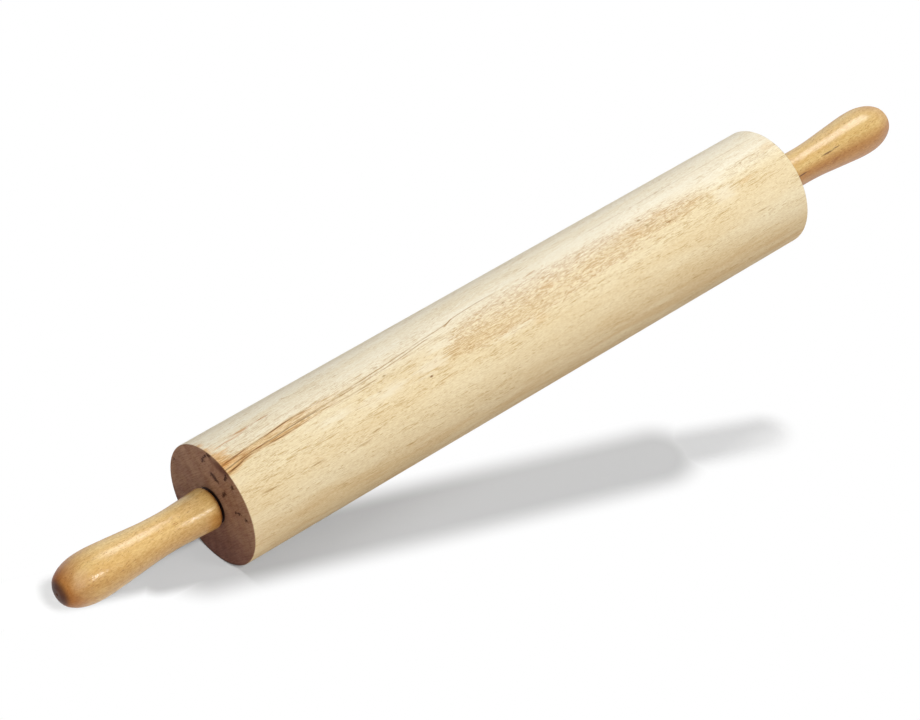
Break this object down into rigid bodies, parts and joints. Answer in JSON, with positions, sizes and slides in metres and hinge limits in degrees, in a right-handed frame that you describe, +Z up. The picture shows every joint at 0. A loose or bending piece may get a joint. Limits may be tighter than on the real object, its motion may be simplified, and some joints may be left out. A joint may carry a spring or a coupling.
{
  "type": "rolling pin",
  "caption": "Long wooden rolling pin with a pale turned barrel that rolls on ball bearings, and varnished waisted handles screwed to a steel rod.",
  "frame": {"origin": "on the table under the middle of the barrel", "axes": "+X along the pin's axis towards its right handle, +Y across the pin away from the viewer, +Z up"},
  "size_m": [0.6808, 0.0794, 0.0794],
  "materials": {
    "pale_wood": "sanded, bare, matt pale hardwood",
    "varnished_wood": "amber gloss varnish over hardwood",
    "rod_steel": "drawn bright steel",
    "bearing_steel": "ground and polished bearing steel",
    "blackened_steel": "pressed sheet steel, blackened and oiled",
    "brass": "pressed sheet brass",
    "nylon": "nylon filled with graphite, near black"
  },
  "bodies": {
    "axle": {"axle_rod": "rod_steel", "left_handle": "varnished_wood", "left_bearing_cone": "bearing_steel", "left_thrust_washer": "nylon", "right_handle": "varnished_wood", "right_bearing_cone": "bearing_steel", "right_thrust_washer": "nylon"},
    "barrel": {"barrel": "pale_wood", "left_bearing_cup": "blackened_steel", "left_dust_shield": "blackened_steel", "right_bearing_cup": "blackened_steel", "right_dust_shield": "blackened_steel"},
    "left_cage": {"left_ball_retainer": "brass", "left_ball_1": "bearing_steel", "left_ball_2": "bearing_steel", "left_ball_3": "bearing_steel", "left_ball_4": "bearing_steel", "left_ball_5": "bearing_steel", "left_ball_6": "bearing_steel", "left_ball_7": "bearing_steel", "left_ball_8": "bearing_steel"},
    "right_cage": {"right_ball_retainer": "brass", "right_ball_1": "bearing_steel", "right_ball_2": "bearing_steel", "right_ball_3": "bearing_steel", "right_ball_4": "bearing_steel", "right_ball_5": "bearing_steel", "right_ball_6": "bearing_steel", "right_ball_7": "bearing_steel", "right_ball_8": "bearing_steel"}
  },
  "joints": [
    {"name": "barrel_spin", "type": "hinge", "parent": "axle", "child": "barrel", "pos_m": [0, 0, 0.0397], "axis": [1, 0, 0], "continuous": true},
    {"name": "left_cage_spin", "type": "hinge", "parent": "axle", "child": "left_cage", "pos_m": [0, 0, 0.0397], "axis": [1, 0, 0], "continuous": true},
    {"name": "right_cage_spin", "type": "hinge", "parent": "axle", "child": "right_cage", "pos_m": [0, 0, 0.0397], "axis": [1, 0, 0], "continuous": true}
  ],
  "couplings": [
    {"joint": "left_cage_spin", "follows": "barrel_spin", "ratio": 0.589},
    {"joint": "right_cage_spin", "follows": "barrel_spin", "ratio": 0.589}
  ]
}
